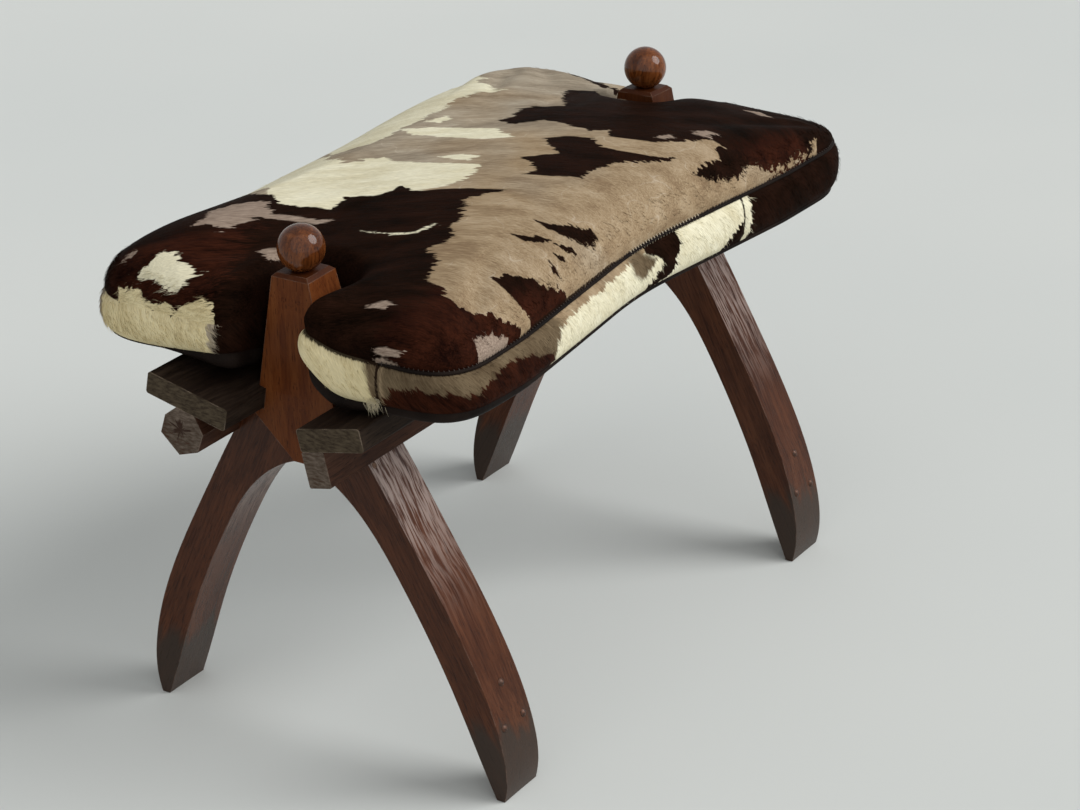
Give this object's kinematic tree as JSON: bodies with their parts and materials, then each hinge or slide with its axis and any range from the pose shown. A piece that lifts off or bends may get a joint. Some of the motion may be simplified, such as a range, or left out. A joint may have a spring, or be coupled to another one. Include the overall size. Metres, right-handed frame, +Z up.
{
  "type": "saddle stool",
  "caption": "Low wooden saddle stool with sabre-curved legs, ball-topped posts and a loose notched cowhide cushion.",
  "frame": {"origin": "on the floor, midway between the two end frames, under the middle of the seat", "axes": "+X along the seat, from the front end frame to the rear one; +Y across it, to the left; +Z up"},
  "size_m": [0.6811, 0.3811, 0.4769],
  "materials": {
    "stained_wood": "dark red-brown stain, satin wax with worn grain",
    "turned_wood": "dark red-brown stain, glossy",
    "board_wood": "dark stain, rough sawn, worn grey-brown edges",
    "dowel_wood": "plain turned wood",
    "nail_steel": "plain dull steel",
    "dome_nail": "dark domed heads",
    "cowhide": "short brindled hair in brown, taupe and cream patches",
    "underside_leather": "plain dark suede",
    "stuffing": "fibre stuffing"
  },
  "bodies": {
    "frame": {"front_post": "stained_wood", "rear_post": "stained_wood", "front_left_leg": "stained_wood", "front_right_leg": "stained_wood", "rear_left_leg": "stained_wood", "rear_right_leg": "stained_wood", "front_finial": "turned_wood", "rear_finial": "turned_wood", "left_board": "board_wood", "right_board": "board_wood", "left_rail": "board_wood", "right_rail": "board_wood", "leg_dowels": "dowel_wood", "leg_pins": "dowel_wood", "board_nails": "nail_steel", "foot_nails": "dome_nail"},
    "cushion": {"cushion_filling": "stuffing", "cushion_top_hide": "cowhide", "cushion_front_band": "cowhide", "cushion_rear_band": "cowhide", "cushion_left_band": "cowhide", "cushion_right_band": "cowhide", "cushion_base": "underside_leather"}
  },
  "joints": [
    {"name": "cushion_lift", "type": "slide", "parent": "frame", "child": "cushion", "axis": [0, 0, 1], "range_m": [0, 0.15]}
  ]
}
